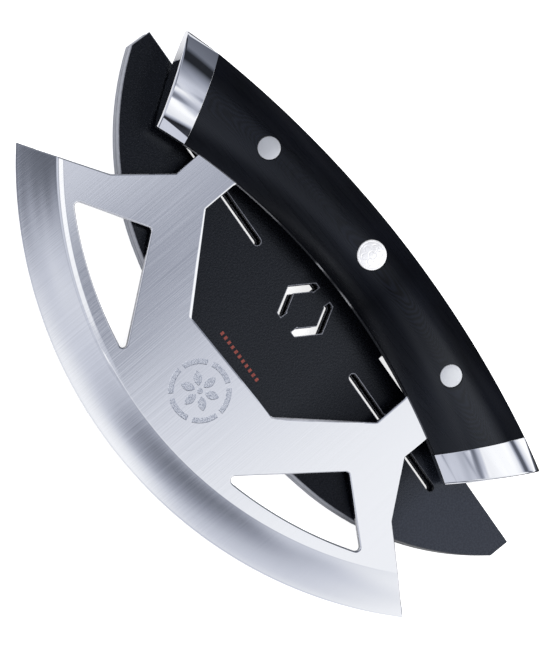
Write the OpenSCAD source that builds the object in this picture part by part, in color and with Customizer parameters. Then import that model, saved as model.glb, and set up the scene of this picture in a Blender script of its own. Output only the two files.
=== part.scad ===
// Ulu knife with a full-tang riveted handle, lying on its slotted blade guard.
// Millimetres, +Z up. The guard lies flat on z = 0 and the knife leans on it.
// The knife is drawn in its own frame first: x along the line between the blade's
// two tips, y towards the handle, z = 0 in the middle of the blade's thickness.

/* [Blade] */
// Distance between the two blade tips
blade_span = 178; // [150:1:200]
// Thickness of the blade and tang
blade_t = 2.5; // [1.8:0.1:3]
// Radius of the cutting edge
edge_r = 133.2; // [110:0.1:170]
// Width of the ground bevel behind the edge
bevel_w = 12.6; // [8:0.1:14]
// Thickness left at the cutting edge
edge_t = 0.4; // [0.2:0.05:0.8]
// How far the hollow grind dips below a straight bevel
hollow_dip = 0.18; // [0.1:0.01:0.25]
// Half distance between the shoulders of the blade's back
shoulder_x = 65; // [58:0.1:70]
// Height of the shoulders above the tip line
shoulder_y = 15.2; // [10:0.1:18]
// Half distance between the outer sides of the necks
neck_out_x = 53.1; // [46:0.1:57]
// Half distance between the inner sides of the necks
neck_in_x = 39.8; // [34:0.1:42]
// Height where the necks widen into the blade
neck_y = 30; // [26:0.1:34]
// Half width of the finger gap's floor
gap_floor_x = 18.6; // [12:0.1:26]
// Height of the finger gap's floor
gap_floor_y = 7.2; // [3:0.1:12]
// Radius in the corners of the cut-outs
corner_r = 1.2; // [0.6:0.1:3]

/* [Windows] */
// Steel left between the cutting edge and the windows, near the middle line
window_rim = 17.5; // [16:0.1:20]
// Radius of the windows' outer side
window_arc_r = 125; // [110:1:140]
// Outer end of a window, from the middle of the blade
window_end_x = 64.8; // [60:0.1:68]
// Outer end of a window, above the tip line
window_end_y = 3; // [0:0.1:6]
// Top corner of a window, from the middle of the blade
window_top_x = 45.5; // [42:0.1:50]
// Top corner of a window, above the tip line
window_top_y = 14.5; // [11:0.1:17]
// Lower end of a window, from the middle of the blade
window_low_x = 22.9; // [20:0.1:30]
// Lower end of a window, above the tip line
window_low_y = -14.2; // [-16:0.1:-11]

/* [Handle] */
// Height of the handle's belly above the tip line, in the middle
belly_y = 45.8; // [42:0.1:50]
// Radius of the belly seen from the front
belly_r = 196; // [170:1:260]
// Radius of the spine seen from the front
spine_r = 330; // [260:1:420]
// Width of the handle in the middle
handle_w = 23.2; // [20:0.1:30]
// Half length of the handle along the belly
handle_belly_x = 67.1; // [64:0.1:74]
// Half length of the handle along the spine
handle_spine_x = 82.7; // [76:0.1:88]
// Length of each end cap
cap_len = 10; // [7:0.1:14]
// Thickness of the handle in the middle
handle_t_mid = 21; // [17:0.1:26]
// Thickness of the handle at its ends
handle_t_end = 12.6; // [11:0.1:16]
// Flat width left along the belly
belly_flat = 4.4; // [3.4:0.1:6]
// Flat width left along the spine
spine_flat = 5; // [3.4:0.1:7]
// How full the handle's section is: 2 is a plain lens
fullness = 2.2; // [1.8:0.1:3.2]
// Width of the facet along each cap's belly
cap_facet = 1.9; // [1.2:0.1:2.6]
// Length of the tang's tongue inside each cap
tongue_len = 6; // [3:0.1:6.5]

/* [Rivets] */
// Distance of each outer rivet from the middle of the handle
rivet_x = 42.4; // [34:0.1:50]
// Where the rivets sit across the handle, as a share from belly to spine
rivet_seat = 0.52; // [0.45:0.01:0.65]
// Diameter of an outer rivet's head
rivet_head_d = 6.7; // [6:0.1:8]
// Diameter of an outer rivet's shank
rivet_shank_d = 4.8; // [4:0.1:5.2]
// Diameter of the male pin inside an outer rivet
rivet_pin_d = 3; // [2.4:0.1:3.4]
// Depth of a rivet head or medallion below the handle's surface
head_depth = 3; // [2.5:0.1:3.5]
// Diameter of the middle medallions
medal_d = 8.8; // [8:0.1:11]
// Outer diameter of the middle tube
tube_d = 6; // [5:0.1:6.6]
// Inner diameter of the middle tube
tube_bore_d = 4; // [3:0.1:4.2]
// Length of a medallion's stem inside the tube
stem_len = 3.5; // [2:0.1:5]

/* [Guard] */
// Width of the guard along its mouth
guard_w = 183.2; // [176:0.1:200]
// Depth of the guard from its mouth to the bottom of its curve
guard_depth = 45.7; // [42:0.1:52]
// Radius of the guard's curve in the middle
guard_mid_r = 170; // [150:1:210]
// Radius of the guard's curve towards its ends
guard_end_r = 87.6; // [84:0.1:96]
// Angle at which the two curves meet
guard_turn_a = 14.4; // [8:0.1:18]
// Thickness of each of the guard's two plates
guard_plate = 1.6; // [1.2:0.1:2.4]
// Room beside the blade inside the guard, both sides together
guard_play = 0.5; // [0.3:0.1:1]
// Width of the joined rim along the curve
guard_rim = 3; // [2.6:0.1:4]
// Half width of the thumb tab on the mouth
tab_x = 24.7; // [16:0.1:30]
// How far the thumb tab stands out of the mouth
tab_out = 3; // [2:0.1:3.5]
// Distance of the grip slots below the mouth
slot_down = 9.9; // [8:0.1:14]
// Start of a grip slot, from the middle
slot_in_x = 23.3; // [18:0.1:30]
// End of a grip slot, from the middle
slot_out_x = 65.4; // [50:0.1:68]
// Width of a grip slot
slot_w = 2.4; // [1.6:0.1:3]
// Size of the split hexagon cut in the middle, from corner to corner
hexagon_d = 17; // [14:0.1:19]
// Width of the hexagon's cuts
hexagon_cut_w = 2.2; // [1.6:0.1:2.6]
// Width left solid between the hexagon's two halves
hexagon_bridge = 5.4; // [4:0.1:7]

/* [Resting place] */
// Turn of the guard under the knife, seen from above
guard_yaw = -3.85; // [-5:0.05:-2]
// Shift of the knife along the guard
knife_x = -1.6; // [-3:0.1:1]
// Shift of the blade's tip line from the middle of the guard
knife_y = -26; // [-28:0.1:-25]
// Gap left where the knife rests on the guard
rest_gap = 0.1; // [0.05:0.01:0.3]

/* [Hidden] */

// Fit between pieces that are pressed or glued together, on the radius
fit = 0.03;
// Extra length that a cut runs past the material it opens
over = 1;
// Facets of large, middle and small circles
fn_big = 360;
fn_mid = 96;
fn_small = 48;

// Centre of the cutting edge's arc, so that the arc runs through both tips
edge_cy = sqrt(pow(edge_r, 2) - pow(blade_span / 2, 2));
ground_r = edge_r - bevel_w;
// Hollow grind: a circle through the grind line and the edge
grind_drop = (blade_t - edge_t) / 2;
grind_chord = sqrt(pow(bevel_w, 2) + pow(grind_drop, 2));
grind_r = pow(grind_chord, 2) / (8 * hollow_dip) + hollow_dip / 2;
grind_tilt = atan2(grind_drop, bevel_w);
grind_lift = grind_r - hollow_dip;
grind_mid = [(ground_r + edge_r) / 2, (blade_t + edge_t) / 4];
grind_centre = grind_mid + grind_lift * [sin(grind_tilt), cos(grind_tilt)];

// Handle outline: u runs along the handle from -1 to 1, v from belly to spine
handle_mean_x = (handle_belly_x + handle_spine_x) / 2;
cap_u = 1 - cap_len / handle_mean_x;
tongue_u = cap_u + tongue_len / handle_mean_x;
tongue_v = [0.22, 0.78];
facet_v = cap_facet / handle_w;
// How far a cross line runs past the belly and the spine, as a share of the width
cross_over = 0.3;

function drop(r, x) = r - sqrt(pow(r, 2) - pow(x, 2));
function belly_at(x) = belly_y - drop(belly_r, x);
function spine_at(x) = belly_y + handle_w - drop(spine_r, x);
function plan_x(u, v) = u * (handle_belly_x + v * (handle_spine_x - handle_belly_x));
function plan_y(u, v) = (1 - v) * belly_at(u * handle_belly_x) + v * spine_at(u * handle_spine_x);
function plan_at(u, v) = [plan_x(u, v), plan_y(u, v)];
function crest_at(u) = (handle_t_end + (handle_t_mid - handle_t_end) * pow(cos(90 * u), 2)) / 2;
function flat_at(v) = (belly_flat + v * (spine_flat - belly_flat)) / 2;
function lens_at(v) = 1 - pow(abs(2 * v - 1), fullness);
function height_at(u, v) = flat_at(v) + (crest_at(u) - flat_at(v)) * lens_at(v);
function surface_at(u, v) = [plan_x(u, v), plan_y(u, v), height_at(u, v)];
function unit(v) = v / norm(v);

// Outward direction of the handle's front surface, from two short steps on it
small_step = 0.001;
function outward_at(u, v) = unit(cross(
    surface_at(u + small_step, v) - surface_at(u - small_step, v),
    surface_at(u, v + small_step) - surface_at(u, v - small_step)
));

// Steps of the handle's surface along and across
scale_steps = 41;
cap_steps = 5;
across_steps = 12;
function even_v(n) = [for (j = [0 : n]) (1 - cos(180 * j / n)) / 2];
function facet_steps(n) = concat([0], [for (v = even_v(n)) facet_v + v * (1 - facet_v)]);
smooth_v = even_v(across_steps);
facet_list = facet_steps(across_steps);

// Rivet places in the knife's plan
rivet_u = rivet_x / plan_x(1, rivet_seat);
rivet_p = plan_at(rivet_u, rivet_seat);
medal_p = plan_at(0, rivet_seat);
// Radius of the low dome on each head, and the turn that keeps seams off the facets
head_dome_r = 24;
seam_turn = 17;
rivet_ledge = height_at(rivet_u, rivet_seat) - head_depth;
medal_ledge = height_at(0, rivet_seat) - head_depth;
rivet_collar = 1;
rivet_z = [-rivet_ledge + rivet_collar, rivet_ledge - rivet_collar];

// Guard
guard_gap = blade_t + guard_play;
guard_t = 2 * guard_plate + guard_gap;
guard_shell_t = guard_t / 2;
// The guard's frame has its origin this far below the middle of its mouth
mouth_y = 20;
mid_c = [0, mouth_y - guard_depth + guard_mid_r];
end_c = mid_c + (guard_mid_r - guard_end_r) * [sin(guard_turn_a), -cos(guard_turn_a)];
// Growth of the end curves, so that they cross the middle curve cleanly
curve_blend = 0.02;
tongue_in = guard_rim / 3;
tongue_h = 0.8;
groove_play = 0.1;
hexagon_r = hexagon_d / 2;
hexagon_cut_r = hexagon_cut_w / cos(30);

// Resting: the blade's back touches the rim's lowest point and the handle's ends
// touch near the mouth. The lean is the steepest that any handle point asks for.
rim_low_y = mid_c[1] * cos(guard_yaw) - guard_mid_r;
rim_y = rim_low_y - knife_y;
mouth_mid = [-mouth_y * sin(guard_yaw) - knife_x, mouth_y * cos(guard_yaw) - knife_y];
function mouth_at(x) = mouth_mid[1] + (x - mouth_mid[0]) * tan(guard_yaw) + (abs(x) < tab_x ? tab_out : 0);
lean_steps = 40;
lean_slopes = [
    for (i = [-lean_steps : lean_steps], j = [0 : lean_steps])
        let (p = plan_at(i / lean_steps, j / lean_steps), h = height_at(i / lean_steps, j / lean_steps))
        if (p[1] < mouth_at(p[0])) (h - blade_t / 2 + rest_gap) / (p[1] - rim_y)
];
lean = atan(max(lean_slopes));
rim_contact_y = (rim_y - blade_t / 2 * sin(lean)) / cos(lean);
knife_z = guard_t + rest_gap - rim_contact_y * sin(lean) + blade_t / 2 * cos(lean);

// Places the knife from its own frame onto the guard
module place_knife() {
    translate([knife_x, knife_y, knife_z])
    rotate([lean, 0, 0])
    children();
}

// Turns the guard under the knife
module place_guard() {
    rotate([0, 0, guard_yaw])
    children();
}

// Right and left copies of a plan shape
module both_sides() {
    children();
    mirror([1, 0]) children();
}

// Corner of a convex outline rounded with a true circle
function fillet_centre(a, b, c, r) =
    let (d1 = unit(a - b), d2 = unit(c - b), half = acos(d1 * d2) / 2)
    b + unit(d1 + d2) * r / sin(half);
function fillet_run(a, b, c, r) = r / tan(acos(unit(a - b) * unit(c - b)) / 2);

module rounded_outline(points, radii) {
    n = len(points);
    polygon([
        for (i = [0 : n - 1])
            let (a = points[(i + n - 1) % n], b = points[i], c = points[(i + 1) % n])
            let (run = fillet_run(a, b, c, radii[i]))
            for (p = [b + unit(a - b) * run, b + unit(c - b) * run]) p
    ]);
    for (i = [0 : n - 1])
        if (radii[i] > 0)
            translate(fillet_centre(points[(i + n - 1) % n], points[i], points[(i + 1) % n], radii[i]))
            circle(r = radii[i], $fn = fn_small);
}

// Blade and tang, in plan
module blade_outline() {
    intersection() {
        translate([0, edge_cy])
            circle(r = edge_r, $fn = fn_big);
        polygon([
            [-blade_span / 2, 0], [-shoulder_x, shoulder_y], [-neck_out_x, neck_y], [-neck_out_x, belly_y],
            [neck_out_x, belly_y], [neck_out_x, neck_y], [shoulder_x, shoulder_y], [blade_span / 2, 0],
            [blade_span / 2, -edge_r / 2], [-blade_span / 2, -edge_r / 2]
        ]);
    }
}

module finger_gap() {
    rounded_outline([
        [-gap_floor_x, gap_floor_y], [-neck_in_x, neck_y], [-neck_in_x, belly_y + over],
        [neck_in_x, belly_y + over], [neck_in_x, neck_y], [gap_floor_x, gap_floor_y]
    ], [corner_r, corner_r, 0, 0, corner_r, corner_r]);
}

// Square to a direction, on the side of a given vector
function square_to(d, side) = [-d[1], d[0]] * side > 0 ? [-d[1], d[0]] : [d[1], -d[0]];

// Circle that rounds the corner where a straight side, run from p along d with the
// opening on side m, meets the inside of a circle of radius big about c
function arc_fillet(p, d, m, c, big, r) =
    let (q = p + m * r - c)
    q + c + d * (-q * d + sqrt(pow(q * d, 2) - q * q + pow(big - r, 2)));

// One window: two straight sides, and an outer side that follows the bevel
module window() {
    arc_c = [0, edge_cy - edge_r + window_rim + window_arc_r];
    end = [window_end_x, window_end_y];
    top = [window_top_x, window_top_y];
    low = [window_low_x, window_low_y];
    to_end = unit(end - top);
    to_low = unit(low - top);
    end_side = square_to(to_end, low - end);
    low_side = square_to(to_low, end - low);
    end_c = arc_fillet(top, to_end, end_side, arc_c, window_arc_r, corner_r);
    low_c = arc_fillet(top, to_low, low_side, arc_c, window_arc_r, corner_r);
    // Each corner is cut along the line between the fillet's two ends
    end_a = end_c - end_side * corner_r;
    end_b = arc_c + unit(end_c - arc_c) * window_arc_r;
    low_a = low_c - low_side * corner_r;
    low_b = arc_c + unit(low_c - arc_c) * window_arc_r;
    top_run = fillet_run(end, top, low, corner_r);
    intersection() {
        translate(arc_c)
            circle(r = window_arc_r, $fn = fn_big);
        polygon([
            top + to_low * top_run, top + to_end * top_run, end_a, end_a + unit(end_b - end_a) * bevel_w,
            low_a + unit(low_b - low_a) * bevel_w, low_a
        ]);
    }
    for (p = [end_c, low_c, fillet_centre(end, top, low, corner_r)])
        translate(p)
        circle(r = corner_r, $fn = fn_small);
}

// Region of the handle's plan between two cross lines
module handle_outline(u0, u1) {
    intersection() {
        difference() {
            translate([0, belly_y + handle_w - spine_r])
                circle(r = spine_r, $fn = fn_big);
            translate([0, belly_y - belly_r])
                circle(r = belly_r, $fn = fn_big);
        }
        polygon([
            plan_at(u0, -cross_over), plan_at(u0, 1 + cross_over),
            plan_at(u1, 1 + cross_over), plan_at(u1, -cross_over)
        ]);
    }
}

// Tongue of the tang inside the right cap, grown by a clearance
module tongue_outline(gap) {
    polygon([
        plan_at(cap_u - 0.1, tongue_v[0]) + [0, -gap], plan_at(cap_u - 0.1, tongue_v[1]) + [0, gap],
        plan_at(tongue_u, tongue_v[1]) + [gap, gap], plan_at(tongue_u, tongue_v[0]) + [gap, -gap]
    ]);
}

// Plan of the blade with its cut-outs, and the tang behind it
module steel_outline() {
    difference() {
        blade_outline();
        finger_gap();
        both_sides() window();
    }
    handle_outline(-cap_u, cap_u);
}

// A ring that cuts the hollow grind into one face of the blade
module grind_cut() {
    translate([0, edge_cy, 0])
    rotate_extrude($fn = fn_big)
    translate(grind_centre)
    circle(r = grind_r, $fn = fn_big);
}

// Round hole through the tang
module tang_hole(p, d) {
    translate([p[0], p[1], -blade_t])
        cylinder(d = d + 2 * fit, h = 2 * blade_t, $fn = fn_small);
}

module blade() {
    color("silver")
    place_knife()
    difference() {
        union() {
            translate([0, 0, -blade_t / 2])
                linear_extrude(blade_t)
                steel_outline();
            for (side = [0, 1])
                mirror([side, 0, 0])
                translate([0, 0, -blade_t / 2])
                linear_extrude(blade_t)
                tongue_outline(0);
        }
        grind_cut();
        mirror([0, 0, 1])
            grind_cut();
        for (x = [-rivet_p[0], rivet_p[0]])
            tang_hole([x, rivet_p[1]], rivet_shank_d);
        tang_hole(medal_p, tube_d);
    }
}

// Lens-shaped length of the handle between two cross lines. Below it is flat at
// z = low, or the mirror of the top where low is undef.
module handle_body(u0, u1, steps, vs, low) {
    m = len(vs);
    us = [for (i = [0 : steps]) u0 + (u1 - u0) * i / steps];
    top = [for (u = us, v = vs) [plan_x(u, v), plan_y(u, v), height_at(u, v)]];
    bottom = [for (p = top) [p[0], p[1], is_undef(low) ? -p[2] : low]];
    n = len(top);
    last = steps * m;
    polyhedron(
        points = concat(top, bottom),
        faces = concat(
            [for (i = [0 : steps - 1], j = [0 : m - 2], k = [0, 1])
                let (a = i * m + j, c = a + m + 1)
                k == 0 ? [a, a + 1, c] : [a, c, a + m]],
            [for (i = [0 : steps - 1], j = [0 : m - 2], k = [0, 1])
                let (a = n + i * m + j, c = a + m + 1)
                k == 0 ? [c, a + 1, a] : [a + m, c, a]],
            [for (i = [0 : steps - 1]) let (a = i * m) [n + a, a, a + m, n + a + m]],
            [for (i = [0 : steps - 1]) let (a = i * m + m - 1) [n + a + m, a + m, a, n + a]],
            [for (j = [0 : m - 2]) [n + j, n + j + 1, j + 1, j]],
            [for (j = [0 : m - 2]) let (a = last + j) [a, a + 1, n + a + 1, n + a]]
        )
    );
}

// Front scale in the knife's frame, with the stepped rivet holes
module scale_body() {
    difference() {
        handle_body(-cap_u, cap_u, scale_steps, smooth_v, blade_t / 2);
        for (x = [-rivet_p[0], rivet_p[0]])
            translate([x, rivet_p[1], 0])
            stepped_hole(rivet_shank_d, rivet_head_d, rivet_ledge);
        translate([medal_p[0], medal_p[1], 0])
            stepped_hole(tube_d, medal_d, medal_ledge);
    }
}

module stepped_hole(shank_d, head_d, ledge) {
    rotate([0, 0, seam_turn]) {
        cylinder(d = shank_d + 2 * fit, h = ledge + over, $fn = fn_small);
        translate([0, 0, ledge])
            cylinder(d = head_d + 2 * fit, h = handle_t_mid, $fn = fn_small);
    }
}

module front_scale() {
    color([0.10, 0.10, 0.11])
    place_knife()
    scale_body();
}

module rear_scale() {
    color([0.10, 0.10, 0.11])
    place_knife()
    mirror([0, 0, 1])
    scale_body();
}

// Right cap in the knife's frame: solid, with a blind slot for the tang's tongue
module cap_body() {
    difference() {
        handle_body(cap_u, 1, cap_steps, facet_list);
        translate([0, 0, -blade_t / 2 - fit])
        linear_extrude(blade_t + 2 * fit)
        tongue_outline(fit);
    }
}

module left_end_cap() {
    color([0.82, 0.83, 0.86])
    place_knife()
    mirror([1, 0, 0])
    cap_body();
}

module right_end_cap() {
    color([0.82, 0.83, 0.86])
    place_knife()
    cap_body();
}

// Head that follows the slope of the handle's front surface, with a low dome
module flush_head(u, d, ledge) {
    p = surface_at(u, rivet_seat);
    intersection() {
        translate([p[0], p[1], ledge])
            cylinder(d = d, h = 2 * head_depth, $fn = fn_small);
        translate(p - head_dome_r * outward_at(u, rivet_seat))
            sphere(r = head_dome_r, $fn = fn_mid);
    }
}

// Female half of an outer rivet, with its head in the front scale
module rivet_sleeve(u) {
    p = plan_at(u, rivet_seat);
    flush_head(u, rivet_head_d, rivet_ledge);
    difference() {
        translate([p[0], p[1], rivet_z[0] + fit])
            cylinder(d = rivet_shank_d, h = rivet_ledge - rivet_z[0], $fn = fn_small);
        translate([p[0], p[1], rivet_z[0] - over])
            cylinder(d = rivet_pin_d + 2 * fit, h = rivet_z[1] - rivet_z[0] + over, $fn = fn_small);
    }
}

// Male half of an outer rivet, with its head in the rear scale
module rivet_pin(u) {
    p = plan_at(u, rivet_seat);
    mirror([0, 0, 1])
        flush_head(u, rivet_head_d, rivet_ledge);
    translate([p[0], p[1], -rivet_ledge - fit])
        cylinder(d = rivet_shank_d, h = rivet_collar, $fn = fn_small);
    translate([p[0], p[1], -rivet_ledge])
        cylinder(d = rivet_pin_d, h = rivet_ledge + rivet_z[1] - 2 * fit, $fn = fn_small);
}

module left_rivet_sleeve() {
    color("silver")
    place_knife()
    rivet_sleeve(-rivet_u);
}

module left_rivet_pin() {
    color("silver")
    place_knife()
    rivet_pin(-rivet_u);
}

module right_rivet_sleeve() {
    color("silver")
    place_knife()
    rivet_sleeve(rivet_u);
}

module right_rivet_pin() {
    color("silver")
    place_knife()
    rivet_pin(rivet_u);
}

module middle_tube() {
    color("silver")
    place_knife()
    translate([medal_p[0], medal_p[1], -medal_ledge + fit])
    difference() {
        cylinder(d = tube_d, h = 2 * (medal_ledge - fit), $fn = fn_small);
        translate([0, 0, -over])
            cylinder(d = tube_bore_d, h = 2 * medal_ledge + 2 * over, $fn = fn_small);
    }
}

// Medallion with a stem pressed into the middle tube
module medallion() {
    flush_head(0, medal_d, medal_ledge);
    translate([medal_p[0], medal_p[1], medal_ledge - stem_len])
        cylinder(d = tube_bore_d - 2 * fit, h = stem_len + fit, $fn = fn_small);
}

module front_medallion() {
    color([0.88, 0.89, 0.91])
    place_knife()
    medallion();
}

module rear_medallion() {
    color([0.88, 0.89, 0.91])
    place_knife()
    mirror([0, 0, 1])
    medallion();
}

// Region inside the guard's curve, drawn in by an inset and open above the mouth
module guard_curve(inset) {
    meet_x = (guard_mid_r - inset) * sin(guard_turn_a);
    intersection() {
        translate(mid_c)
            circle(r = guard_mid_r - inset, $fn = fn_big);
        union() {
            both_sides()
                translate(end_c)
                circle(r = guard_end_r - inset + curve_blend, $fn = fn_big);
            translate([-meet_x, -2 * guard_depth])
                square([2 * meet_x, 4 * guard_depth]);
        }
    }
}

// Everything below a line at y = top, as wide as the guard less a margin
module below(top, margin) {
    translate([-guard_w / 2 + margin, top - 2 * guard_depth])
        square([guard_w - 2 * margin, 2 * guard_depth]);
}

module guard_outline() {
    intersection() {
        guard_curve(0);
        below(mouth_y, 0);
    }
    translate([-tab_x, mouth_y - over])
        square([2 * tab_x, over + tab_out]);
}

// Slots and the split hexagon, cut through both plates
module guard_cuts() {
    slot_y = mouth_y - slot_down;
    both_sides() {
        translate([slot_in_x + slot_w / 2, slot_y - slot_w / 2])
            square([slot_out_x - slot_in_x - slot_w, slot_w]);
        for (x = [slot_in_x + slot_w / 2, slot_out_x - slot_w / 2])
            translate([x, slot_y])
            circle(d = slot_w, $fn = fn_small);
        translate([0, slot_y])
        intersection() {
            difference() {
                circle(r = hexagon_r, $fn = 6);
                circle(r = hexagon_r - hexagon_cut_r, $fn = 6);
            }
            translate([hexagon_bridge / 2, -hexagon_r])
                square(2 * hexagon_r);
        }
    }
}

// Half of the guard: a plate with half of the rim's height
module guard_half() {
    difference() {
        linear_extrude(guard_shell_t)
            difference() {
                guard_outline();
                guard_cuts();
            }
        translate([0, 0, guard_plate])
        linear_extrude(guard_gap) {
            guard_curve(guard_rim);
            translate([-tab_x - over, mouth_y - over])
                square([2 * (tab_x + over), tab_out + 2 * over]);
        }
    }
}

// Strip along the middle of the rim, for the tongue and its groove
module rim_strip(play) {
    intersection() {
        difference() {
            guard_curve(tongue_in - play / 2);
            guard_curve(2 * tongue_in + play / 2);
        }
        below(mouth_y - 4 * guard_rim + play / 2, tongue_in);
    }
}

module guard_rear_shell() {
    color([0.12, 0.12, 0.13])
    place_guard() {
        guard_half();
        translate([0, 0, guard_shell_t])
        linear_extrude(tongue_h)
        rim_strip(0);
    }
}

module guard_front_shell() {
    color([0.12, 0.12, 0.13])
    place_guard()
    difference() {
        translate([0, 0, guard_t])
        mirror([0, 0, 1])
        guard_half();
        translate([0, 0, guard_shell_t - over])
        linear_extrude(tongue_h + groove_play + over)
        rim_strip(groove_play);
    }
}

blade();
front_scale();
rear_scale();
left_end_cap();
right_end_cap();
left_rivet_sleeve();
left_rivet_pin();
right_rivet_sleeve();
right_rivet_pin();
middle_tube();
front_medallion();
rear_medallion();
guard_front_shell();
guard_rear_shell();
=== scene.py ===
# Looks of an ulu knife that lies on its slotted blade guard.
# Sizes are in millimetres, as in the part's own drawing, and become metres when a mesh is made.

import math

import bpy
import numpy as np
from mathutils import Matrix, Vector
from mathutils.geometry import delaunay_2d_cdt


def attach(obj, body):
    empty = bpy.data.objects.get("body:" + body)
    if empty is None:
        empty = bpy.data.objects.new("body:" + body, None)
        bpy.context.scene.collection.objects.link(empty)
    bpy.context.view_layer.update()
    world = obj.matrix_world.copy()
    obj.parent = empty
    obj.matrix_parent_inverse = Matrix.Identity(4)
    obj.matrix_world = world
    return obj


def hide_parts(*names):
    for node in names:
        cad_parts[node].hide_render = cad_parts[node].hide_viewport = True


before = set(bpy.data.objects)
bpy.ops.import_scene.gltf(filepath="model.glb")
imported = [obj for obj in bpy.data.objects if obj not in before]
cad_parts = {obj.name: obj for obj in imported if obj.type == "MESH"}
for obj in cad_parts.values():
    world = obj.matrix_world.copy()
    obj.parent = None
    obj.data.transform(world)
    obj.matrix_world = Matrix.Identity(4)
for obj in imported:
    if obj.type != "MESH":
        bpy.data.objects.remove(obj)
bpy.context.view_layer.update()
MM = 0.001

# Where the knife rests on the guard: shift, height and lean of its middle plane
KNIFE_AT = (-1.6, -26.0, 7.565)
KNIFE_LEAN = math.radians(7.651)
KNIFE_PLACE = Matrix.Translation(Vector(KNIFE_AT) * MM) @ Matrix.Rotation(KNIFE_LEAN, 4, "X")
GUARD_TURN = math.radians(-3.85)
GUARD_PLACE = Matrix.Rotation(GUARD_TURN, 4, "Z")

# Blade
BLADE_HALF_SPAN = 89.0
BLADE_HALF_T = 1.25
OUTLINE_STEP = 0.6
EDGE_R = 133.2
EDGE_HALF_T = 0.2
BEVEL_W = 12.6
HOLLOW_DIP = 0.18
SHOULDER = (65.0, 15.2)
NECK_OUT_X = 53.1
NECK_IN_X = 39.8
NECK_Y = 30.0
NECK_CORNER_R = 0.5
GAP_FLOOR = (18.6, 7.2)
CORNER_R = 1.2
WINDOW_RIM = 17.5
WINDOW_ARC_R = 125.0
WINDOW_END = (64.8, 3.0)
WINDOW_TOP = (45.5, 14.5)
WINDOW_LOW = (22.9, -14.2)

# Handle: its shares u and v run along it, from the middle to an end, and across it, from belly to spine
BELLY_Y = 45.8
BELLY_R = 196.0
SPINE_R = 330.0
HANDLE_W = 23.2
BELLY_HALF = 67.1
SPINE_HALF = 82.7
CAP_LEN = 10.0
HALF_T_MID = 10.5
HALF_T_END = 6.3
BELLY_HALF_FLAT = 2.2
SPINE_HALF_FLAT = 2.5
FULLNESS = 2.2
TONGUE_LEN = 6.0
TONGUE_V = (0.22, 0.78)

# Rivets and medallions, whose shanks end at a height over the middle plane
RIVET_X = 42.4
RIVET_SEAT = 0.52
RIVET_HEAD_R = 3.35
RIVET_SHANK_R = 2.4
SLEEVE_END = -3.7
PIN_END = -3.9
HEAD_DEPTH = 3.0
MEDAL_R = 4.4
MEDAL_SHANK_END = 3.7
TUBE_BORE_R = 2.0
TUBE_WALL = 1.0
HEAD_DOME_R = 24.0
FIT = 0.03

# Guard
GUARD_T = 6.2
GUARD_HALF_W = 91.6
GUARD_DEPTH = 45.7
GUARD_MID_R = 170.0
GUARD_END_R = 87.6
GUARD_MEET = math.radians(14.4)
MOUTH_Y = 20.0

EDGE_CY = math.sqrt(EDGE_R ** 2 - BLADE_HALF_SPAN ** 2)
GROUND_R = EDGE_R - BEVEL_W
HANDLE_MEAN_X = (BELLY_HALF + SPINE_HALF) / 2
CAP_U = 1 - CAP_LEN / HANDLE_MEAN_X
TONGUE_U = CAP_U + TONGUE_LEN / HANDLE_MEAN_X


# Plan shapes

def unit(way):
    """Each direction with length 1."""
    return way / np.maximum(np.linalg.norm(way, axis=-1, keepdims=True), 1e-9)


def left_of(way):
    """Each direction after a quarter turn to the left."""
    return np.stack([-way[..., 1], way[..., 0]], -1)


def cross(a, b):
    return a[..., 0] * b[..., 1] - a[..., 1] * b[..., 0]


def arc(centre, r, start, end, steps):
    """Points on an arc, angles in degrees, ends included."""
    a = np.radians(np.linspace(start, end, steps + 1))
    return np.column_stack([centre[0] + r * np.cos(a), centre[1] + r * np.sin(a)])


def circle(centre, r, steps=48):
    return arc(centre, r, 0, 360 * (1 - 1 / steps), steps - 1)


def rounded(points, radii, steps):
    """A closed outline with its corners rounded by arcs."""
    out = []
    n = len(points)
    for i, r in enumerate(radii):
        a, b, c = (np.array(points[(i + k) % n], float) for k in (-1, 0, 1))
        if r == 0:
            out.append(b)
            continue
        d1, d2 = unit(a - b), unit(c - b)
        half = math.acos(np.clip(d1 @ d2, -1, 1)) / 2
        centre = b + unit(d1 + d2) * r / math.sin(half)
        p, q = (b + d * r / math.tan(half) - centre for d in (d1, d2))
        turn = math.atan2(cross(p, q), p @ q)
        for k in range(steps + 1):
            t = turn * k / steps
            out.append(centre + p * math.cos(t) + left_of(p) * math.sin(t))
    return np.array(out)


def dense(points, step, closed=True):
    """The same outline with no side longer than step."""
    out = []
    n = len(points)
    for i in range(n if closed else n - 1):
        a, b = points[i], points[(i + 1) % n]
        count = max(1, int(math.ceil(np.linalg.norm(b - a) / step)))
        out += [a + (b - a) * k / count for k in range(count)]
    if not closed:
        out.append(points[-1])
    return np.array(out)


def mirrored(points):
    return (points * [-1, 1])[::-1]


def inset(loop, gap):
    """The loop moved by gap along its own normals: inwards where gap is above 0."""
    turns = np.sign(np.sum(cross(loop, np.roll(loop, -1, 0))))
    side = left_of(unit(np.roll(loop, -1, 0) - loop)) * turns
    mean = side + np.roll(side, 1, 0)
    mean /= np.maximum((mean * side).sum(1), 0.4)[:, None]
    return loop + mean * gap


def ends_joined(loop):
    return np.vstack([loop, loop[:1]])


def inside(loop, p):
    """Which of the points p lie inside a closed loop."""
    hit = np.zeros(len(p), bool)
    for (x0, y0), (x1, y1) in zip(loop, np.roll(loop, -1, 0)):
        if y0 != y1:
            crosses = (y0 > p[:, 1]) != (y1 > p[:, 1])
            hit ^= crosses & (p[:, 0] < x0 + (p[:, 1] - y0) * (x1 - x0) / (y1 - y0))
    return hit


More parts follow.
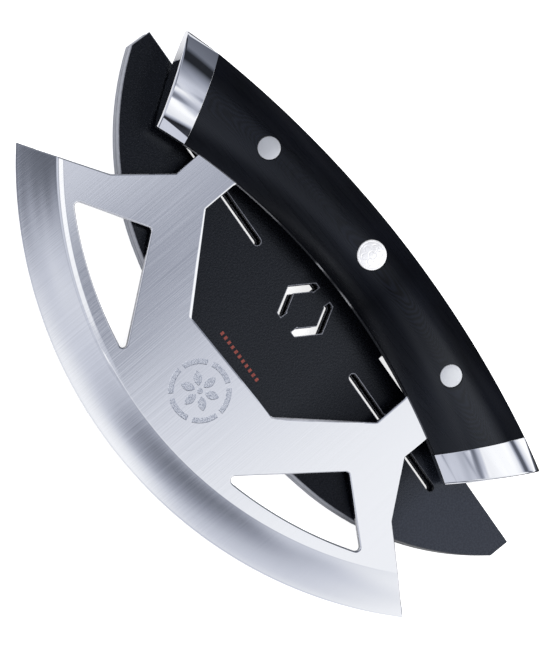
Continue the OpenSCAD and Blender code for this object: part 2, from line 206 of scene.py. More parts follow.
def to_border(p, a, b, batch=2000):
    """Distance from each point p to the segments a to b, and the direction out over the border."""
    length = np.linalg.norm(b - a, axis=1)
    way = (b - a) / length[:, None]
    dist = np.empty(len(p))
    out = np.empty((len(p), 2))
    for s in range(0, len(p), batch):
        q = p[s:s + batch, None, :] - a[None]
        along = np.clip((q * way).sum(2), 0, length)
        gap = q - along[..., None] * way
        d = np.linalg.norm(gap, axis=2)
        rows, near = np.arange(len(q)), d.argmin(1)
        least = d[rows, near][:, None]
        mean = ((d < least + 1e-4)[..., None] * -left_of(way)[None]).sum(1)
        dist[s:s + batch] = least[:, 0]
        out[s:s + batch] = np.where(least > 1e-4, -gap[rows, near], mean)
    return dist, unit(out)


# Solids drawn as a relief: a plan cut into triangles, lifted to a top and a bottom

def cut_plan(loops, chains, seeds):
    """Points and triangles between closed loops, the first one outside.

    chains are open lines that the triangles follow and seeds are loose points.
    """
    points, edges = [], []
    for line, closed in [(q, True) for q in loops] + [(q, False) for q in chains]:
        start = len(points)
        points += [Vector(q) for q in line]
        edges += [(start + i, start + i + 1) for i in range(len(line) - 1)]
        if closed:
            edges.append((start + len(line) - 1, start))
    points += [Vector(q) for q in seeds]
    verts, _, faces, *_ = delaunay_2d_cdt(points, edges, [], 0, 1e-5)
    plan = np.array([v[:] for v in verts])
    tris = np.array([f for f in faces if len(f) == 3])
    mid = plan[tris].mean(1)
    keep = inside(loops[0], mid)
    for hole in loops[1:]:
        keep &= ~inside(hole, mid)
    used, tris = np.unique(tris[keep], return_inverse=True)
    return plan[used], tris.reshape(-1, 3)


def border_of(tris):
    """The sides that belong to one triangle only."""
    sides = dict.fromkeys((i, j) for a, b, c in tris.tolist() for i, j in ((a, b), (b, c), (c, a)))
    return np.array([(i, j) for i, j in sides if (j, i) not in sides])


def chosen(rule, p):
    """What a rule says of each point, or 0 without a rule."""
    return rule(p) if rule else np.zeros(len(p), int)


def relief(name, plan, tris, to_plan, top, bottom, edge_r, slot_of=None, flat_face=None, sharp=None,
           wall_slot_of=None):
    """A closed solid over a plan that is cut into triangles, in the plan's own coordinates.

    to_plan turns them into x and y, top and bottom give z and normals. Every border that the rule sharp
    doesn't name is rounded by edge_r, a radius or a rule that gives the width and the radius at each point.
    slot_of and wall_slot_of choose materials, and flat_face the faces that aren't shaded smooth.
    """
    xy = to_plan(plan)
    a, b, c = (xy[tris[:, k]] for k in range(3))
    tris = np.where((cross(b - a, c - a) < 0)[:, None], tris[:, ::-1], tris)
    border = border_of(tris)
    dist, out = to_border(xy, xy[border[:, 0]], xy[border[:, 1]])
    width, r = edge_r(xy) if callable(edge_r) else (edge_r, edge_r)
    reach = np.clip(width - dist, 0, width) * (~sharp(xy) if sharp else 1)
    fall = r - np.sqrt(r ** 2 - reach ** 2)
    lean = (reach / r)[:, None]

    def level(rule, sign):
        z, normal = rule(plan)
        normal = normal * np.sqrt(1 - lean ** 2)
        normal[:, :2] += out * lean
        return np.column_stack([xy, z - sign * fall]), unit(normal)

    upper, upper_n = level(top, 1)
    lower, lower_n = level(bottom, -1)
    n = len(upper)
    wall = np.column_stack([out, np.zeros(n)])
    mid = plan[tris].mean(1)
    flat = chosen(flat_face, mid) > 0
    a, b, c = (upper[tris[flat, k]] for k in range(3))
    top_n = upper_n[tris]
    top_n[flat] = unit(np.cross(b - a, c - a))[:, None]
    under = tris[:, ::-1]
    i, j = border.T
    faces = [*tris.tolist(), *(under + n).tolist(), *np.column_stack([i, i + n, j + n, j]).tolist()]
    normals = [v.reshape(-1, 3) for v in (top_n, lower_n[under], wall[border.repeat(2, 1)])]
    slots = [*chosen(slot_of, mid), *chosen(None, mid), *chosen(wall_slot_of, xy[border].mean(1))]
    return mesh_piece(name, np.vstack([upper, lower]), faces, np.vstack(normals), slots)


def mesh_piece(name, verts, faces, normals=None, slots=None):
    """A piece from points in millimetres. Normals are given for each corner of each face."""
    mesh = bpy.data.meshes.new(name)
    mesh.from_pydata((np.array(verts, float) * MM).tolist(), [], faces)
    mesh.update()
    if normals is not None:
        mesh.polygons.foreach_set("material_index", [int(s) for s in slots])
        mesh.normals_split_custom_set(normals.tolist())
    return placed(name, mesh)


def placed(name, data):
    """A new object in the scene."""
    piece = bpy.data.objects.new(name, data)
    bpy.context.scene.collection.objects.link(piece)
    return piece


def mirror_piece(piece, signs):
    """Mirrors a piece through its own origin, with the normals of its corners."""
    mesh = piece.data
    normals = np.array([n.vector[:] for n in mesh.corner_normals]) * signs
    mesh.transform(Matrix.Diagonal((*signs, 1)))
    spans = [(p.loop_start, p.loop_start + p.loop_total) for p in mesh.polygons]
    mesh.flip_normals()
    order = [k for start, end in spans for k in (start, *range(end - 1, start, -1))]
    mesh.normals_split_custom_set(normals[order].tolist())


def dress(piece, body, nodes, slot, *materials):
    """Gives a piece its materials and its place on its body, and hides the CAD nodes that it stands for."""
    for m in materials:
        piece.data.materials.append(m)
    piece.matrix_world = KNIFE_PLACE if body == "knife" else GUARD_PLACE
    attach(piece, body)
    if nodes:
        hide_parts(*nodes)


# Step from which slopes are worked out
SLOPE_STEP = 0.01


def changes(value, p):
    """How much a value changes from a step before the points p to a step after, on each axis."""
    return [value(p + step) - value(p - step) for step in ([SLOPE_STEP, 0], [0, SLOPE_STEP])]


def lifted(height):
    """Turns a height over the plan into a rule that gives z and normals."""
    def rule(p):
        dx, dy = changes(height, p)
        return height(p), unit(np.column_stack([-dx, -dy, np.full(len(p), 2 * SLOPE_STEP)]))

    return rule


def upside_down(rule):
    def turned(p):
        z, n = rule(p)
        return -z, n * [1, 1, -1]

    return turned


def quarter_fall(r, gap):
    """How far a rounding of radius r lies below its corner, at a distance gap inside the border."""
    reach = np.clip(r - gap, 0, r)
    return r - np.sqrt(r ** 2 - reach ** 2)


# Handle's plan and height

def handle_plan(u, v):
    """Plan points of the handle at its shares u and v."""
    x = u * (BELLY_HALF + v * (SPINE_HALF - BELLY_HALF))
    belly = BELLY_Y - BELLY_R + np.sqrt(BELLY_R ** 2 - (u * BELLY_HALF) ** 2)
    spine = BELLY_Y + HANDLE_W - SPINE_R + np.sqrt(SPINE_R ** 2 - (u * SPINE_HALF) ** 2)
    return np.column_stack([x, (1 - v) * belly + v * spine])


def handle_line(u0, u1, v0, v1, steps):
    t = np.linspace(0, 1, steps + 1)
    return handle_plan(u0 + (u1 - u0) * t, v0 + (v1 - v0) * t)


def rivet_u(x):
    """The handle's share u of a rivet at x."""
    return x / (BELLY_HALF + RIVET_SEAT * (SPINE_HALF - BELLY_HALF))


def rivet_place(x):
    return handle_plan(np.array([rivet_u(x)]), np.array([RIVET_SEAT]))[0]


def handle_height(u, v):
    """Half thickness of the handle: a lens from belly to spine, thickest in the middle."""
    flat = BELLY_HALF_FLAT + v * (SPINE_HALF_FLAT - BELLY_HALF_FLAT)
    crest = HALF_T_END + (HALF_T_MID - HALF_T_END) * np.cos(np.pi / 2 * u) ** 2
    return flat + (crest - flat) * (1 - np.abs(2 * np.clip(v, 0, 1) - 1) ** FULLNESS)


# The handle's own coordinates are its shares u and v as millimetres
def handle_uv(p):
    return p[:, 0] / HANDLE_MEAN_X, p[:, 1] / HANDLE_W


def handle_xy(p):
    return handle_plan(*handle_uv(p))


def handle_rule(height_of):
    """z and normals of a height over the handle's own coordinates."""
    def at(p):
        return np.column_stack([handle_xy(p), height_of(*handle_uv(p))])

    def rule(p):
        return at(p)[:, 2], unit(np.cross(*changes(at, p)))

    return rule


def handle_inverse(xy, step=1e-4):
    """The handle's own coordinates of plan points, by Newton steps."""
    p = xy - [0, BELLY_Y]
    for _ in range(20):
        miss = handle_xy(p) - xy
        a, b = ((handle_xy(p + way) - handle_xy(p)) / step for way in ([step, 0], [0, step]))
        p = p - np.column_stack([cross(miss, b), cross(a, miss)]) / cross(a, b)[:, None]
    return p


# Blade

# Over this width the grind line's crease and the ridge on it are softened
CREASE_W = 0.26
# A burnished ridge runs along the grind line: it rises slowly from the flat and fades out before the middle
RIDGE_H = 0.23
RIDGE_FROM, RIDGE_TOP, RIDGE_TO = -0.85, 0.65, 1.05
RIDGE_FADE = (-22.0, -6.0)
HONE_W = 0.45
HONE_DROP = 0.01
EDGE_SOFT = 0.48
EDGE_SHARP_W = 0.6
# Width of the rounding beside the finger gap's lower sides: x, then the width there
GAP_SOFT = [(-39.8, 0.5), (-35, 0.6), (-30, 0.8), (-19.2, 0.8), (-18, 0.15), (12, 0.2), (18.6, 0.5),
            (22, 0.75), (27, 0.75), (33, 0.55), (38, 0.25)]
# How far the left side's shallow curve leans at the border, as a sine
GAP_LEAN = 0.4
# How far the gap's rounding and its satin side reach, as shares of that width
GAP_REACH, SATIN_REACH = 1.6, 0.95
# The triangles follow lines at these distances from the finger gap and outside the grind line
GAP_LINES = (0.06, 0.12, 0.2, 0.3, 0.42, 0.55, 0.7, 0.85, 1.0, 1.1)
BEVEL_LINES = [*np.linspace(-1.15, 1.25, 25), 1.5, *np.arange(2.0, BEVEL_W - 0.7, 0.8), BEVEL_W - HONE_W]
# The blade's materials, in the order of its slots
BRUSHED, ETCHED, TANG, GAP_SIDE = range(4)

# Rosette that fills the etched place on the blade: six petals, a ring in six parts and a core
ETCH_AT = (-0.9, -4.3)
ETCH_R = 9.3
ETCH_RING_W = 1.6
ETCH_CORE_R = 0.9
ETCH_DEPTH = 0.05
ETCH_WALL = 0.14
PETAL_FROM, PETAL_TO, PETAL_W = 1.5, 5.9, 2.5


def smooth_step(t):
    t = np.clip(t, 0, 1)
    return t * t * (3 - 2 * t)


def grind_depth(d):
    """How far the hollow grind lies below the flat, at a distance d outside the grind line."""
    drop = BLADE_HALF_T - EDGE_HALF_T
    r = (BEVEL_W ** 2 + drop ** 2) / (8 * HOLLOW_DIP) + HOLLOW_DIP / 2
    tilt = math.atan2(drop, BEVEL_W)
    centre_d = BEVEL_W / 2 + (r - HOLLOW_DIP) * math.sin(tilt)
    centre_z = (BLADE_HALF_T + EDGE_HALF_T) / 2 + (r - HOLLOW_DIP) * math.cos(tilt)
    d = np.clip(d, 0, BEVEL_W)
    return BLADE_HALF_T - (centre_z - np.sqrt(r ** 2 - (d - centre_d) ** 2))


def ridge_over_grind(d):
    rise = RIDGE_H * np.clip((d - RIDGE_FROM) / (RIDGE_TOP - RIDGE_FROM), 0, 1)
    fall = np.clip((RIDGE_TO - d) / (RIDGE_TO - RIDGE_TOP), 0, 1)
    return (rise + grind_depth(np.minimum(d, RIDGE_TOP))) * fall


def blade_height(p):
    """Half thickness of the blade, with a burnished ridge on the grind line and a honed edge."""
    d = np.hypot(p[:, 0], p[:, 1] - EDGE_CY) - GROUND_R
    d = np.where(p[:, 1] > BELLY_Y, -BEVEL_W, d)
    ways = np.linspace(-CREASE_W / 2, CREASE_W / 2, 9)
    depth = sum(grind_depth(d + w) for w in ways) / len(ways)
    ridge = sum(ridge_over_grind(d + w) for w in ways) / len(ways)
    hone = np.clip((d - BEVEL_W + HONE_W) / HONE_W, 0, 1) * HONE_DROP
    at = np.degrees(np.arctan2(p[:, 0], EDGE_CY - p[:, 1]))
    share = smooth_step((RIDGE_FADE[1] - at) / (RIDGE_FADE[1] - RIDGE_FADE[0]))
    return BLADE_HALF_T - depth - hone + ridge * share


def steel_loop():
    """Outline of blade and tang: the left half, from spine to edge, and its mirror."""
    tip_a = math.degrees(math.asin(BLADE_HALF_SPAN / EDGE_R))
    neck_u = NECK_OUT_X / BELLY_HALF
    low, high = TONGUE_V
    shoulder_side = rounded(
        [(-NECK_OUT_X, BELLY_Y), (-NECK_OUT_X, NECK_Y), (-SHOULDER[0], SHOULDER[1]), (-BLADE_HALF_SPAN, 0)],
        [0, NECK_CORNER_R, NECK_CORNER_R, 0], 4)
    side = np.vstack([
        handle_line(0, -CAP_U, 1, 1, 60),
        handle_line(-CAP_U, -CAP_U, 1, high, 1)[1:],
        handle_line(0, -TONGUE_U, high, high, 1)[1:],
        handle_line(-TONGUE_U, -TONGUE_U, high, low, 1)[1:],
        handle_line(-CAP_U, -CAP_U, low, 0, 1),
        handle_line(-CAP_U, -neck_u, 0, 0, 12)[1:],
        dense(shoulder_side[1:], OUTLINE_STEP, closed=False),
        arc((0, EDGE_CY), EDGE_R, -90 - tip_a, -90, 130)[1:],
    ])
    return np.vstack([side, mirrored(side)[1:-1]])


def gap_loop():
    """Outline of the finger gap, closed by the handle's belly."""
    under = BELLY_Y - 2
    floor = rounded(
        [(NECK_IN_X, under), (NECK_IN_X, NECK_Y), GAP_FLOOR, (-GAP_FLOOR[0], GAP_FLOOR[1]),
         (-NECK_IN_X, NECK_Y), (-NECK_IN_X, under)], [0, CORNER_R, CORNER_R, CORNER_R, CORNER_R, 0], 8)
    u = NECK_IN_X / BELLY_HALF
    return np.vstack([floor[1:-1], handle_line(-u, u, 0, 0, 80)])


def arc_corner(p, way, inward, centre, big, r, steps=8):
    """Points that round the corner where a straight side, from p along way, meets the inside of a circle.

    inward points into the opening. The points run from the straight side to the circle.
    """
    q = p + inward * r - centre
    c = q + way * (-(q @ way) + math.sqrt((q @ way) ** 2 - q @ q + (big - r) ** 2))
    turn = math.atan2(cross(-inward, unit(c)), -inward @ unit(c))
    a = math.atan2(-inward[1], -inward[0]) + turn * np.linspace(0, 1, steps + 1)
    return c + centre + r * np.column_stack([np.cos(a), np.sin(a)])


def window_loop():
    """Right window: two straight sides and an outer side that follows the bevel."""
    centre = np.array([0, EDGE_CY - EDGE_R + WINDOW_RIM + WINDOW_ARC_R])
    end, top, low = (np.array(q, float) for q in (WINDOW_END, WINDOW_TOP, WINDOW_LOW))

    def outer_corner(corner, other):
        way = unit(corner - top)
        inward = left_of(way) * np.sign(left_of(way) @ (other - corner))
        return arc_corner(top, way, inward, centre, WINDOW_ARC_R, CORNER_R)

    end_corner, low_corner = outer_corner(end, low), outer_corner(low, end)
    top_corner = rounded([low, top, end], [0, CORNER_R, 0], 8)[1:-1]
    a1, a0 = (math.degrees(math.atan2(*(q[-1] - centre)[::-1])) for q in (end_corner, low_corner))
    outer = arc(centre, WINDOW_ARC_R, a1, a0, 60)[1:-1]
    return np.vstack([top_corner, end_corner, outer, low_corner[::-1]])


def soft_lines(loops, r):
    """Lines beside each border that give its rounding room."""
    lines = []
    for k, loop in enumerate(loops):
        lines += [ends_joined(inset(loop, (r if k == 0 else -r) * share)) for share in (0.3, 1.0)]
    return lines


def petal(turn):
    t = np.linspace(0, 1, 17)
    along = PETAL_FROM + (PETAL_TO - PETAL_FROM) * t
    half = PETAL_W / 2 * np.sin(np.pi * t) ** 0.8
    side = np.concatenate([half, -half[::-1][1:-1]])
    reach = np.concatenate([along, along[::-1][1:-1]])
    way = np.array([math.cos(turn), math.sin(turn)])
    return ETCH_AT + reach[:, None] * way + side[:, None] * left_of(way)


def etch_loops():
    loops = [petal(math.radians(60 * k + 30)) for k in range(6)]
    for k in range(6):
        outer = arc(ETCH_AT, ETCH_R, 60 * k + 5, 60 * k + 55, 24)
        inner = arc(ETCH_AT, ETCH_R - ETCH_RING_W, 60 * k + 55, 60 * k + 5, 24)
        loops.append(np.vstack([outer, inner]))
    return loops + [circle(ETCH_AT, ETCH_CORE_R, 20)]


def make_blade():
    gap, window, etches = dense(gap_loop(), 2 * OUTLINE_STEP), window_loop(), etch_loops()
    etch_sides = np.vstack(etches), np.vstack([np.roll(q, -1, 0) for q in etches])
    smooth = lifted(blade_height)

    def etched(p):
        hit = np.hypot(*(p - ETCH_AT).T) < ETCH_R + 1
        hit[hit] = np.any([inside(q, p[hit]) for q in etches], 0)
        return hit

    def top(p):
        z, hit = blade_height(p), etched(p)
        z[hit] -= ETCH_DEPTH * np.clip(to_border(p[hit], *etch_sides)[0] / ETCH_WALL, 0, 1)
        return z, smooth(p)[1]

    def on_etch_wall(p):
        hit = etched(p)
        hit[hit] = to_border(p[hit], *etch_sides)[0] < ETCH_WALL * 0.9
        return hit

    def kept_sharp(p):
        """The cutting edge, and the tang's borders between the handle's two halves."""
        edge = np.hypot(p[:, 0], p[:, 1] - EDGE_CY) > EDGE_R - EDGE_SHARP_W
        return edge | (handle_inverse(p)[:, 1] > -0.3)

    def gap_width(p):
        return np.interp(p[:, 0], *zip(*GAP_SOFT))

    def beside_gap(p, share):
        """Points close to the finger gap's lower sides, within a share of the rounding's width there."""
        near = (np.abs(p[:, 0]) < NECK_IN_X + 1) & (p[:, 1] < NECK_Y) & (p[:, 1] > GAP_FLOOR[1] - 2)
        near[near] = to_border(p[near], gap, np.roll(gap, -1, 0))[0] < share * gap_width(p[near])
        return near

    def soft_by_place(p):
        """Width and radius of the borders' rounding. The finger gap's left side is only a shallow curve."""
        near = beside_gap(p, GAP_REACH)
        width = np.where(near, gap_width(p), EDGE_SOFT)
        return width, np.where(near & (p[:, 0] < -GAP_FLOOR[0]), width / GAP_LEAN, width)

    def slot_of(p):
        satin = beside_gap(p, SATIN_REACH) & (p[:, 0] > GAP_FLOOR[0] - 0.8)
        return np.where(satin, GAP_SIDE, np.where(etched(p), ETCHED, BRUSHED))

    def wall_slot_of(p):
        """The tang's own edge shows between the handle's two halves."""
        return np.where(handle_inverse(p)[:, 1] > -0.4, TANG, BRUSHED)

    loops = [steel_loop(), gap, window, mirrored(window)]
    for x, r in ((RIVET_X, RIVET_SHANK_R), (-RIVET_X, RIVET_SHANK_R), (0, TUBE_BORE_R + TUBE_WALL)):
        loops.append(circle(rivet_place(x), r + FIT))
    chains = [arc((0, EDGE_CY), GROUND_R + d, -135, -45, 300) for d in BEVEL_LINES]
    chains += [ends_joined(q) for q in etches + [inset(q, ETCH_WALL) for q in etches]]
    chains += soft_lines([loops[0], loops[2], loops[3]], EDGE_SOFT)
    chains += [ends_joined(inset(gap, -w)) for w in GAP_LINES]
    piece = relief("blade_steel", *cut_plan(loops, chains, []), lambda p: p, top, upside_down(smooth),
                   soft_by_place, slot_of, on_etch_wall, kept_sharp, wall_slot_of)
    surfaces = brushed_steel(), etched_steel(), tang_steel(), gap_steel()
    dress(piece, "knife", ["blade"], "blade_steel", *surfaces)


# Handle's pieces

SCALE_GRID = (150, 34)
SCALE_SOFT = 0.15
HEAD_GAP = 0.1
CAP_GRID = (24, 44)
CAP_SEEDS = (24, 60)
CAP_SOFT = 0.12
FACET_SOFT = 0.18
# The facet along a cap's belly widens from the joint to the end, and so does the spine's rounding
CAP_FACETS = (1.5, 2.6)
CAP_BELLY_HALF_FLAT = 1.85
SPINE_ROUNDS = (0.15, 1.9)
SPINE_FALL = 0.6
END_ROUND = 0.8
END_LINES = (0.2, 0.3, 0.45, 0.6, 0.82)


def strip_lines(s0, s1, columns, rows):
    """Even places along a stretch of the handle, and places across it that crowd at the borders."""
    return np.linspace(s0, s1, columns + 1), HANDLE_W * (1 - np.cos(np.linspace(0, np.pi, rows + 1))) / 2


def strip_seeds(*size):
    s, t = strip_lines(*size)
    return [(a, b) for a in s[1:-1] for b in t[1:-1]]


def strip_loop(*size):
    s, t = strip_lines(*size)
    return np.vstack([
        np.column_stack([s, 0 * s])[:-1], np.column_stack([0 * t + s[-1], t])[:-1],
        np.column_stack([s[::-1], 0 * s + HANDLE_W])[:-1], np.column_stack([0 * t + s[0], t[::-1]])[:-1],
    ])


def make_scale(name, node, side, material):
    s1 = CAP_U * HANDLE_MEAN_X
    loops = [strip_loop(-s1, s1, *SCALE_GRID)]
    for x, r in ((-RIVET_X, RIVET_HEAD_R), (0, MEDAL_R), (RIVET_X, RIVET_HEAD_R)):
        loops.append(handle_inverse(circle(rivet_place(x), r + HEAD_GAP, 72)))

    def under(p):
        return np.full(len(p), BLADE_HALF_T), np.tile([0.0, 0.0, -1.0], (len(p), 1))

    plan = cut_plan(loops, soft_lines(loops, SCALE_SOFT), strip_seeds(-s1, s1, *SCALE_GRID))
    piece = relief(name, *plan, handle_xy, handle_rule(handle_height), under, SCALE_SOFT)
    if side < 0:
        mirror_piece(piece, (1, 1, -1))
    dress(piece, "knife", [node], "handle_black", material)


def along_cap(u, ends):
    """A value that goes from ends[0] at a cap's joint to ends[1] at its end."""
    k = np.clip((u - CAP_U) / (1 - CAP_U), 0, 1)
    return ends[0] + (ends[1] - ends[0]) * k


def cap_height(u, v):
    """Half thickness of a cap: the lens with a flat facet along the belly and soft spine and end."""
    facet = along_cap(u, CAP_FACETS) / HANDLE_W
    rise = handle_height(u, facet) - CAP_BELLY_HALF_FLAT

    def raw(w):
        return np.where(w < facet, CAP_BELLY_HALF_FLAT + rise * w / facet, handle_height(u, w))

    ways = np.linspace(-FACET_SOFT, FACET_SOFT, 7) / HANDLE_W
    body = sum(raw(v + w) for w in ways) / len(ways)
    spine = SPINE_FALL * quarter_fall(along_cap(u, SPINE_ROUNDS), np.clip(1 - v, 0, 1) * HANDLE_W)
    return body - spine - quarter_fall(END_ROUND, np.clip(1 - u, 0, 1) * HANDLE_MEAN_X)


def make_cap(name, node, side, material):
    s0, s1 = CAP_U * HANDLE_MEAN_X, HANDLE_MEAN_X
    loops = [strip_loop(s0, s1, *CAP_GRID)]
    chains = soft_lines(loops, CAP_SOFT)
    facet_line = np.linspace((s0 + 0.01, CAP_FACETS[0]), (s1 - 0.01, CAP_FACETS[1]), 60)
    chains += [facet_line + [0, t * FACET_SOFT] for t in (-1, -0.5, 0, 0.5, 1)]
    across = np.linspace(0.01, HANDLE_W - 0.01, 45)
    chains += [np.column_stack([0 * across + s1 - gap, across]) for gap in END_LINES]
    top = handle_rule(cap_height)
    plan = cut_plan(loops, chains, strip_seeds(s0, s1, *CAP_SEEDS))
    piece = relief(name, *plan, handle_xy, top, upside_down(top), CAP_SOFT)
    if side < 0:
        mirror_piece(piece, (-1, 1, 1))
    dress(piece, "knife", [node], "cap_steel", material)


# Rivets and medallions

HEAD_SOFT = 0.14
HEAD_PROUD = 0.02
HEAD_STEPS = 96
HEAD_RINGS = 40
# Places of the last rings, as shares of the rim's rounding
RIM_SHARES = (0.7, 0.4, 0.15, 0)
# Engraved lines: two rings, and a rosette between two radii
ENGRAVED_RINGS = (3.75, 1.05)
ENGRAVED_PETALS = (1.25, 3.15)
ENGRAVED_DEPTH = 0.07
ENGRAVED_HALF_W = 0.15


def make_head(name, node, side, x, r, shank_r, shank_end, carve, slot, material):
    """A rivet head or medallion flush with the handle's slope, on its round shank."""
    centre = rivet_place(x)
    seat = np.array([[rivet_u(x) * HANDLE_MEAN_X, RIVET_SEAT * HANDLE_W]])
    z, normal = (v[0] for v in handle_rule(handle_height)(seat))
    dome = np.array([*centre, z]) + normal * (HEAD_PROUD - HEAD_DOME_R)
    turns = [2 * math.pi * k / HEAD_STEPS for k in range(HEAD_STEPS)]
    verts = []

    def on_ring(radius, a):
        return centre[0] + radius * math.cos(a), centre[1] + radius * math.sin(a)

    rings = [*np.linspace(0, r - HEAD_SOFT, HEAD_RINGS), *(r - HEAD_SOFT * k for k in RIM_SHARES)]
    for ring in rings:
        for a in turns if ring else turns[:1]:
            px, py = on_ring(ring, a)
            rise = math.sqrt(HEAD_DOME_R ** 2 - (px - dome[0]) ** 2 - (py - dome[1]) ** 2)
            verts.append((px, py, dome[2] + rise - quarter_fall(HEAD_SOFT, r - ring) - carve(ring, a)))
    ledge = z - HEAD_DEPTH
    for radius, level in ((r, ledge), (shank_r, ledge), (shank_r, shank_end)):
        verts += [(*on_ring(radius, a), level) for a in turns]

    n = HEAD_STEPS
    last = len(verts) - n
    around = [(k, (k + 1) % n) for k in range(n)]
    faces = [(0, 1 + i, 1 + j) for i, j in around]
    for s in range(1, last, n):
        faces += [(s + i, s + i + n, s + j + n, s + j) for i, j in around]
    faces.append(tuple(range(last + n - 1, last - 1, -1)))
    if side < 0:
        faces = [f[::-1] for f in faces]
    piece = mesh_piece(name, np.array(verts) * [1, 1, side], faces)
    piece.data.shade_smooth()
    piece.data.set_sharp_from_angle(angle=math.radians(50))
    dress(piece, "knife", [node], slot, material)


def medal_carve(ring, a):
    """Depth of the engraved lines at a radius and an angle."""
    low, high = ENGRAVED_PETALS
    petals = low + (high - low) * abs(math.cos(3 * a)) ** 0.7
    near = min(*(abs(ring - r) for r in ENGRAVED_RINGS), abs(ring - petals) * 0.7)
    return ENGRAVED_DEPTH * max(0.0, 1 - (near / ENGRAVED_HALF_W) ** 2)


# Materials

class Tree:
    """The nodes of a material or a world."""

    def __init__(self, owner):
        owner.use_nodes = True
        self.nodes = owner.node_tree.nodes
        self.links = owner.node_tree.links

    def feed(self, node, **values):
        """Links a node's inputs to other nodes' outputs, or sets them to plain values.

        The inputs' names are written with _ for a space, and _0 is the first one.
        """
        for key, value in values.items():
            socket = node.inputs[int(key[1:]) if key[1:].isdigit() else key.replace("_", " ")]
            if isinstance(value, bpy.types.NodeSocket):
                self.links.new(value, socket)
            else:
                socket.default_value = value

    def add(self, kind, **values):
        node = self.nodes.new("ShaderNode" + kind)
        self.feed(node, **values)
        return node

    def own_place(self, scale=None):
        """The piece's own coordinates in metres, drawn out by a scale for each axis."""
        place = self.add("TexCoord").outputs["Object"]
        return self.add("Mapping", Vector=place, Scale=scale).outputs["Vector"] if scale else place

    def noise(self, scale, detail=3.0):
        return self.add("TexNoise", Vector=self.own_place(scale), Scale=1.0, Detail=detail).outputs["Fac"]

    def ramp(self, value, stops):
        """A colour ramp from (position, colour or grey) stops."""
        node = self.add("ValToRGB", Fac=value)
        elements = node.color_ramp.elements
        while len(elements) < len(stops):
            elements.new(0.5)
        for element, (at, colour) in zip(elements, stops):
            element.position = at
            element.color = (*colour, 1) if isinstance(colour, tuple) else (colour, colour, colour, 1)
        return node.outputs["Color"]

    def math(self, operation, a, b):
        node = self.add("Math", _0=a, _1=b)
        node.operation = operation
        return node.outputs[0]

    def span(self, value, start, end, smooth=False):
        """A share from 0 where the value is start to 1 where it is end."""
        node = self.add("MapRange", Value=value, From_Min=start, From_Max=end)
        if smooth:
            node.interpolation_type = "SMOOTHSTEP"
        return node.outputs["Result"]

    def along_x(self, start, end):
        return self.span(self.add("SeparateXYZ", _0=self.own_place()).outputs["X"], start, end)

    def blend(self, share, a, b):
        """A mix of two numbers."""
        return self.add("Mix", Factor=share, A=a, B=b).outputs["Result"]

    def mix(self, share, a, b):
        """A mix of two colours."""
        node = self.add("Mix", Factor=share)
        node.data_type = "RGBA"
        # The node's colours are its inputs 6 and 7 and its output 2
        self.feed(node, _6=a, _7=b)
        return node.outputs[2]


class Paint(Tree):
    """A Principled material with its uniform values set on the shader's own sockets."""

    def __init__(self, name, **values):
        self.material = bpy.data.materials.new(name)
        super().__init__(self.material)
        self.set(**values)

    def set(self, **values):
        self.feed(self.nodes["Principled BSDF"], **values)

    def grained(self, grain, dark, pale, rough, spread=0.2):
        """Colour and roughness that follow a grain. Returns the colour."""
        colour = self.ramp(grain, [(0.5 - spread, dark), (0.5 + spread, pale)])
        self.set(Base_Color=colour, Roughness=self.ramp(grain, [(0.3, rough[0]), (0.7, rough[1])]))
        return colour

    def bump(self, height, strength, distance):
        node = self.add("Bump", Height=height, Strength=strength, Distance=distance)
        self.set(Normal=node.outputs["Normal"])


def brushed_steel():
    """Fine straight brush lines that run from the edge towards the handle, faintest at the right."""
    paint = Paint("brushed_blade_steel", Metallic=1.0)
    lines = paint.blend(0.12, paint.noise((3200, 26, 26)), paint.noise((700, 9, 9)))
    calm = paint.ramp(paint.along_x(0.0, 0.05), [(0.0, 0.0), (1.0, 0.75)])
    grain = paint.blend(calm, lines, 0.5)
    paint.grained(grain, (0.76, 0.77, 0.79), (0.84, 0.85, 0.87), (0.06, 0.1))
    paint.bump(grain, 0.03, 0.0001)
    return paint.material


def etched_steel():
    paint = Paint("etched_blade_steel", Metallic=1.0)
    grain = paint.noise((4600, 4600, 4600))
    paint.grained(grain, (0.4, 0.43, 0.5), (0.84, 0.86, 0.91), (0.22, 0.34), 0.12)
    paint.bump(grain, 0.2, 0.0002)
    return paint.material


def tang_steel():
    """The tang's edge: satin at its left end, dark further along, with painted highlights (glints) in two
    short places.
    """
    paint = Paint("tang_edge_painted_glints", Metallic=0.3)
    pale = paint.grained(paint.noise((300, 300, 3000)), (0.78, 0.8, 0.84), (0.95, 0.96, 0.98), (0.35, 0.45))
    # Painted highlights: brightness set along the edge, with two short glints and the edge dark between them
    painted_glints = paint.ramp(paint.along_x(-0.05, 0.05), [
        (0.0, 0.5), (0.25, 0.5), (0.28, 0.03), (0.425, 0.03), (0.435, 1.0), (0.452, 1.0), (0.465, 0.25),
        (0.5, 0.02), (0.53, 0.15), (0.56, 0.9), (0.585, 1.0), (0.6, 0.08), (0.64, 0.02), (1.0, 0.04)])
    paint.set(Base_Color=paint.mix(painted_glints, (0.035, 0.038, 0.046, 1), pale))
    return paint.material


def gap_steel():
    """The finger gap's right slanting side: satin, darker towards its right end."""
    paint = Paint("satin_gap_side", Metallic=0.3)
    pale = paint.grained(paint.noise((600, 600, 600)), (0.36, 0.37, 0.41), (0.5, 0.51, 0.55), (0.35, 0.45))
    tone = paint.ramp(paint.along_x(0.018, 0.04), [(0.45, 0.0), (0.9, 1.0)])
    paint.set(Base_Color=paint.mix(tone, pale, (0.04, 0.042, 0.05, 1)))
    return paint.material


def polished_steel():
    paint = Paint("polished_cap_steel", Metallic=1.0)
    paint.grained(paint.noise((60, 400, 400)), (0.79, 0.8, 0.82), (0.83, 0.84, 0.86), (0.03, 0.06))
    return paint.material


